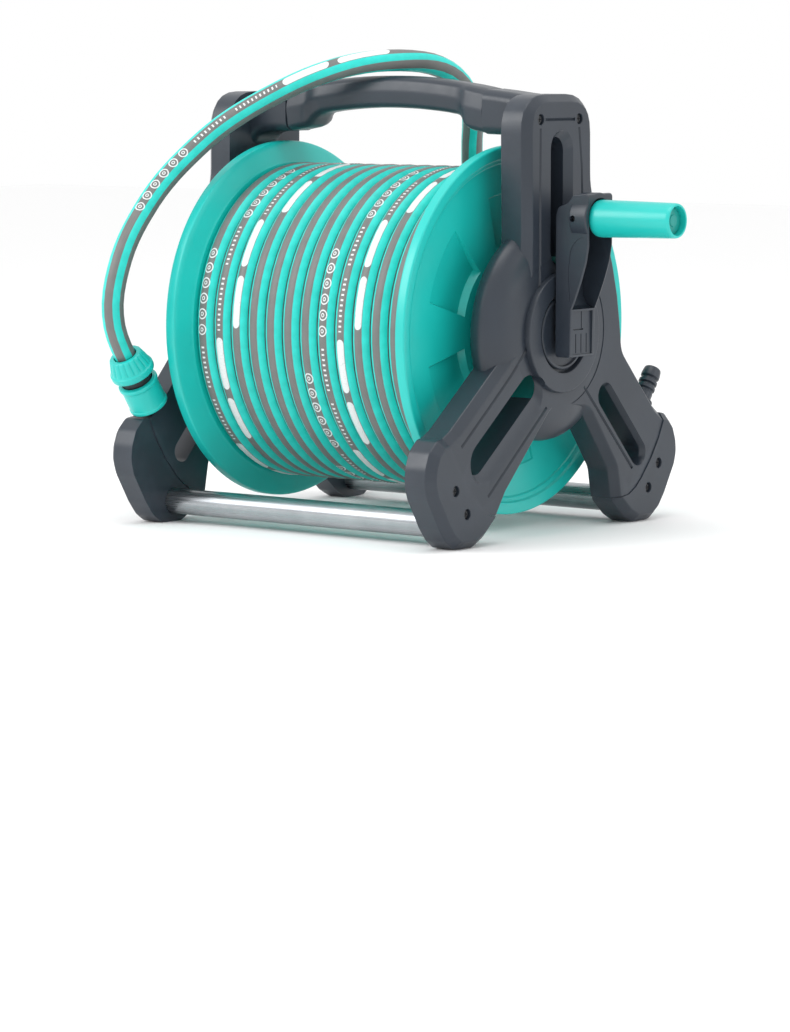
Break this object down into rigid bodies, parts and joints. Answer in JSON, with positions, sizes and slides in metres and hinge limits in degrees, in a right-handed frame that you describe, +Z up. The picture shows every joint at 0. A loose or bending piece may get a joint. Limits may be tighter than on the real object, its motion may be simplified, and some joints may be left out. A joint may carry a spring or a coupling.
{
  "type": "garden hose reel",
  "caption": "Free-standing garden hose reel: crank-turned drum between two splayed A-frames, carrying handle, folding crank grip, swivel inlet and a hose ending in a quick connector.",
  "frame": {"origin": "on the ground, under the middle of the box round the reel from the inlet to the crank grip", "axes": "+X along the drum's axle towards the crank, -Y the front, +Z up"},
  "size_m": [0.5964, 0.4447, 0.4736],
  "materials": {
    "slate_plastic": "satin, fine moulded grain",
    "black_plastic": "satin",
    "teal_plastic": "satin gloss",
    "teal_plug": "satin",
    "satin_aluminium": "satin, drawn",
    "dark_screw": "blackened",
    "seal_rubber": "matt",
    "hose_grey": "matt, knitted, with lengthwise stripes"
  },
  "bodies": {
    "frame": {"frame_right": "slate_plastic", "frame_left": "slate_plastic", "foot_front_right": "slate_plastic", "foot_front_left": "slate_plastic", "foot_rear_right": "slate_plastic", "foot_rear_left": "slate_plastic", "foot_screw_front_right_1": "dark_screw", "foot_screw_front_right_2": "dark_screw", "foot_screw_front_left_1": "dark_screw", "foot_screw_front_left_2": "dark_screw", "foot_screw_rear_right_1": "dark_screw", "foot_screw_rear_right_2": "dark_screw", "foot_screw_rear_left_1": "dark_screw", "foot_screw_rear_left_2": "dark_screw", "handle_screw_right_1": "dark_screw", "handle_screw_right_2": "dark_screw", "handle_screw_left_1": "dark_screw", "handle_screw_left_2": "dark_screw", "cross_tube_front": "satin_aluminium", "cross_tube_rear": "satin_aluminium", "handle": "slate_plastic", "axle_bush_right": "black_plastic", "axle_bush_left": "black_plastic", "dock_nipple_right": "slate_plastic", "dock_nipple_left": "slate_plastic", "hose_run": "hose_grey"},
    "drum": {"flange_right": "teal_plastic", "flange_left": "teal_plastic", "drum_core": "teal_plastic", "crank_shaft": "slate_plastic", "inlet_axle": "slate_plastic", "drum_riser": "black_plastic", "crank_arm": "slate_plastic", "crank_screw": "dark_screw", "grip_pin": "dark_screw", "hose_winding": "hose_grey"},
    "grip_hinge": {"grip_knuckle": "slate_plastic"},
    "grip": {"grip_sleeve": "teal_plastic", "grip_plug": "teal_plug"},
    "inlet": {"inlet_elbow": "slate_plastic"},
    "inlet_union": {"inlet_nut": "teal_plastic"},
    "connector": {"connector_body": "black_plastic", "connector_seal": "seal_rubber"},
    "connector_collar": {"connector_sleeve": "teal_plastic"},
    "connector_union": {"connector_nut": "teal_plastic"}
  },
  "joints": [
    {"name": "drum_spin", "type": "hinge", "parent": "frame", "child": "drum", "pos_m": [0, 0, 0.199], "axis": [1, 0, 0], "continuous": true},
    {"name": "grip_fold", "type": "hinge", "parent": "drum", "child": "grip_hinge", "pos_m": [0.19225, 0, 0.3115], "axis": [0, 1, 0], "range_deg": [0, 80]},
    {"name": "grip_spin", "type": "hinge", "parent": "grip_hinge", "child": "grip", "pos_m": [0.24825, 0, 0.3115], "axis": [1, 0, 0], "continuous": true},
    {"name": "inlet_swivel", "type": "hinge", "parent": "frame", "child": "inlet", "pos_m": [-0.28075, 0, 0.199], "axis": [1, 0, 0], "continuous": true},
    {"name": "inlet_nut_turn", "type": "hinge", "parent": "inlet", "child": "inlet_union", "pos_m": [-0.28075, 0, 0.17], "axis": [0, 0, 1], "continuous": true},
    {"name": "connector_lift", "type": "slide", "parent": "frame", "child": "connector", "axis": [0, -0.5664, 0.8241], "range_m": [0, 0.045], "deforming": ["hose_run"]},
    {"name": "collar_slide", "type": "slide", "parent": "connector", "child": "connector_collar", "axis": [0, -0.5664, 0.8241], "range_m": [0, 0.004], "stiffness_N_per_m": 300, "springref_m": -0.002},
    {"name": "connector_nut_turn", "type": "hinge", "parent": "connector", "child": "connector_union", "pos_m": [-0.22175, -0.1713, 0.1174], "axis": [0, -0.5664, 0.8241], "continuous": true}
  ]
}
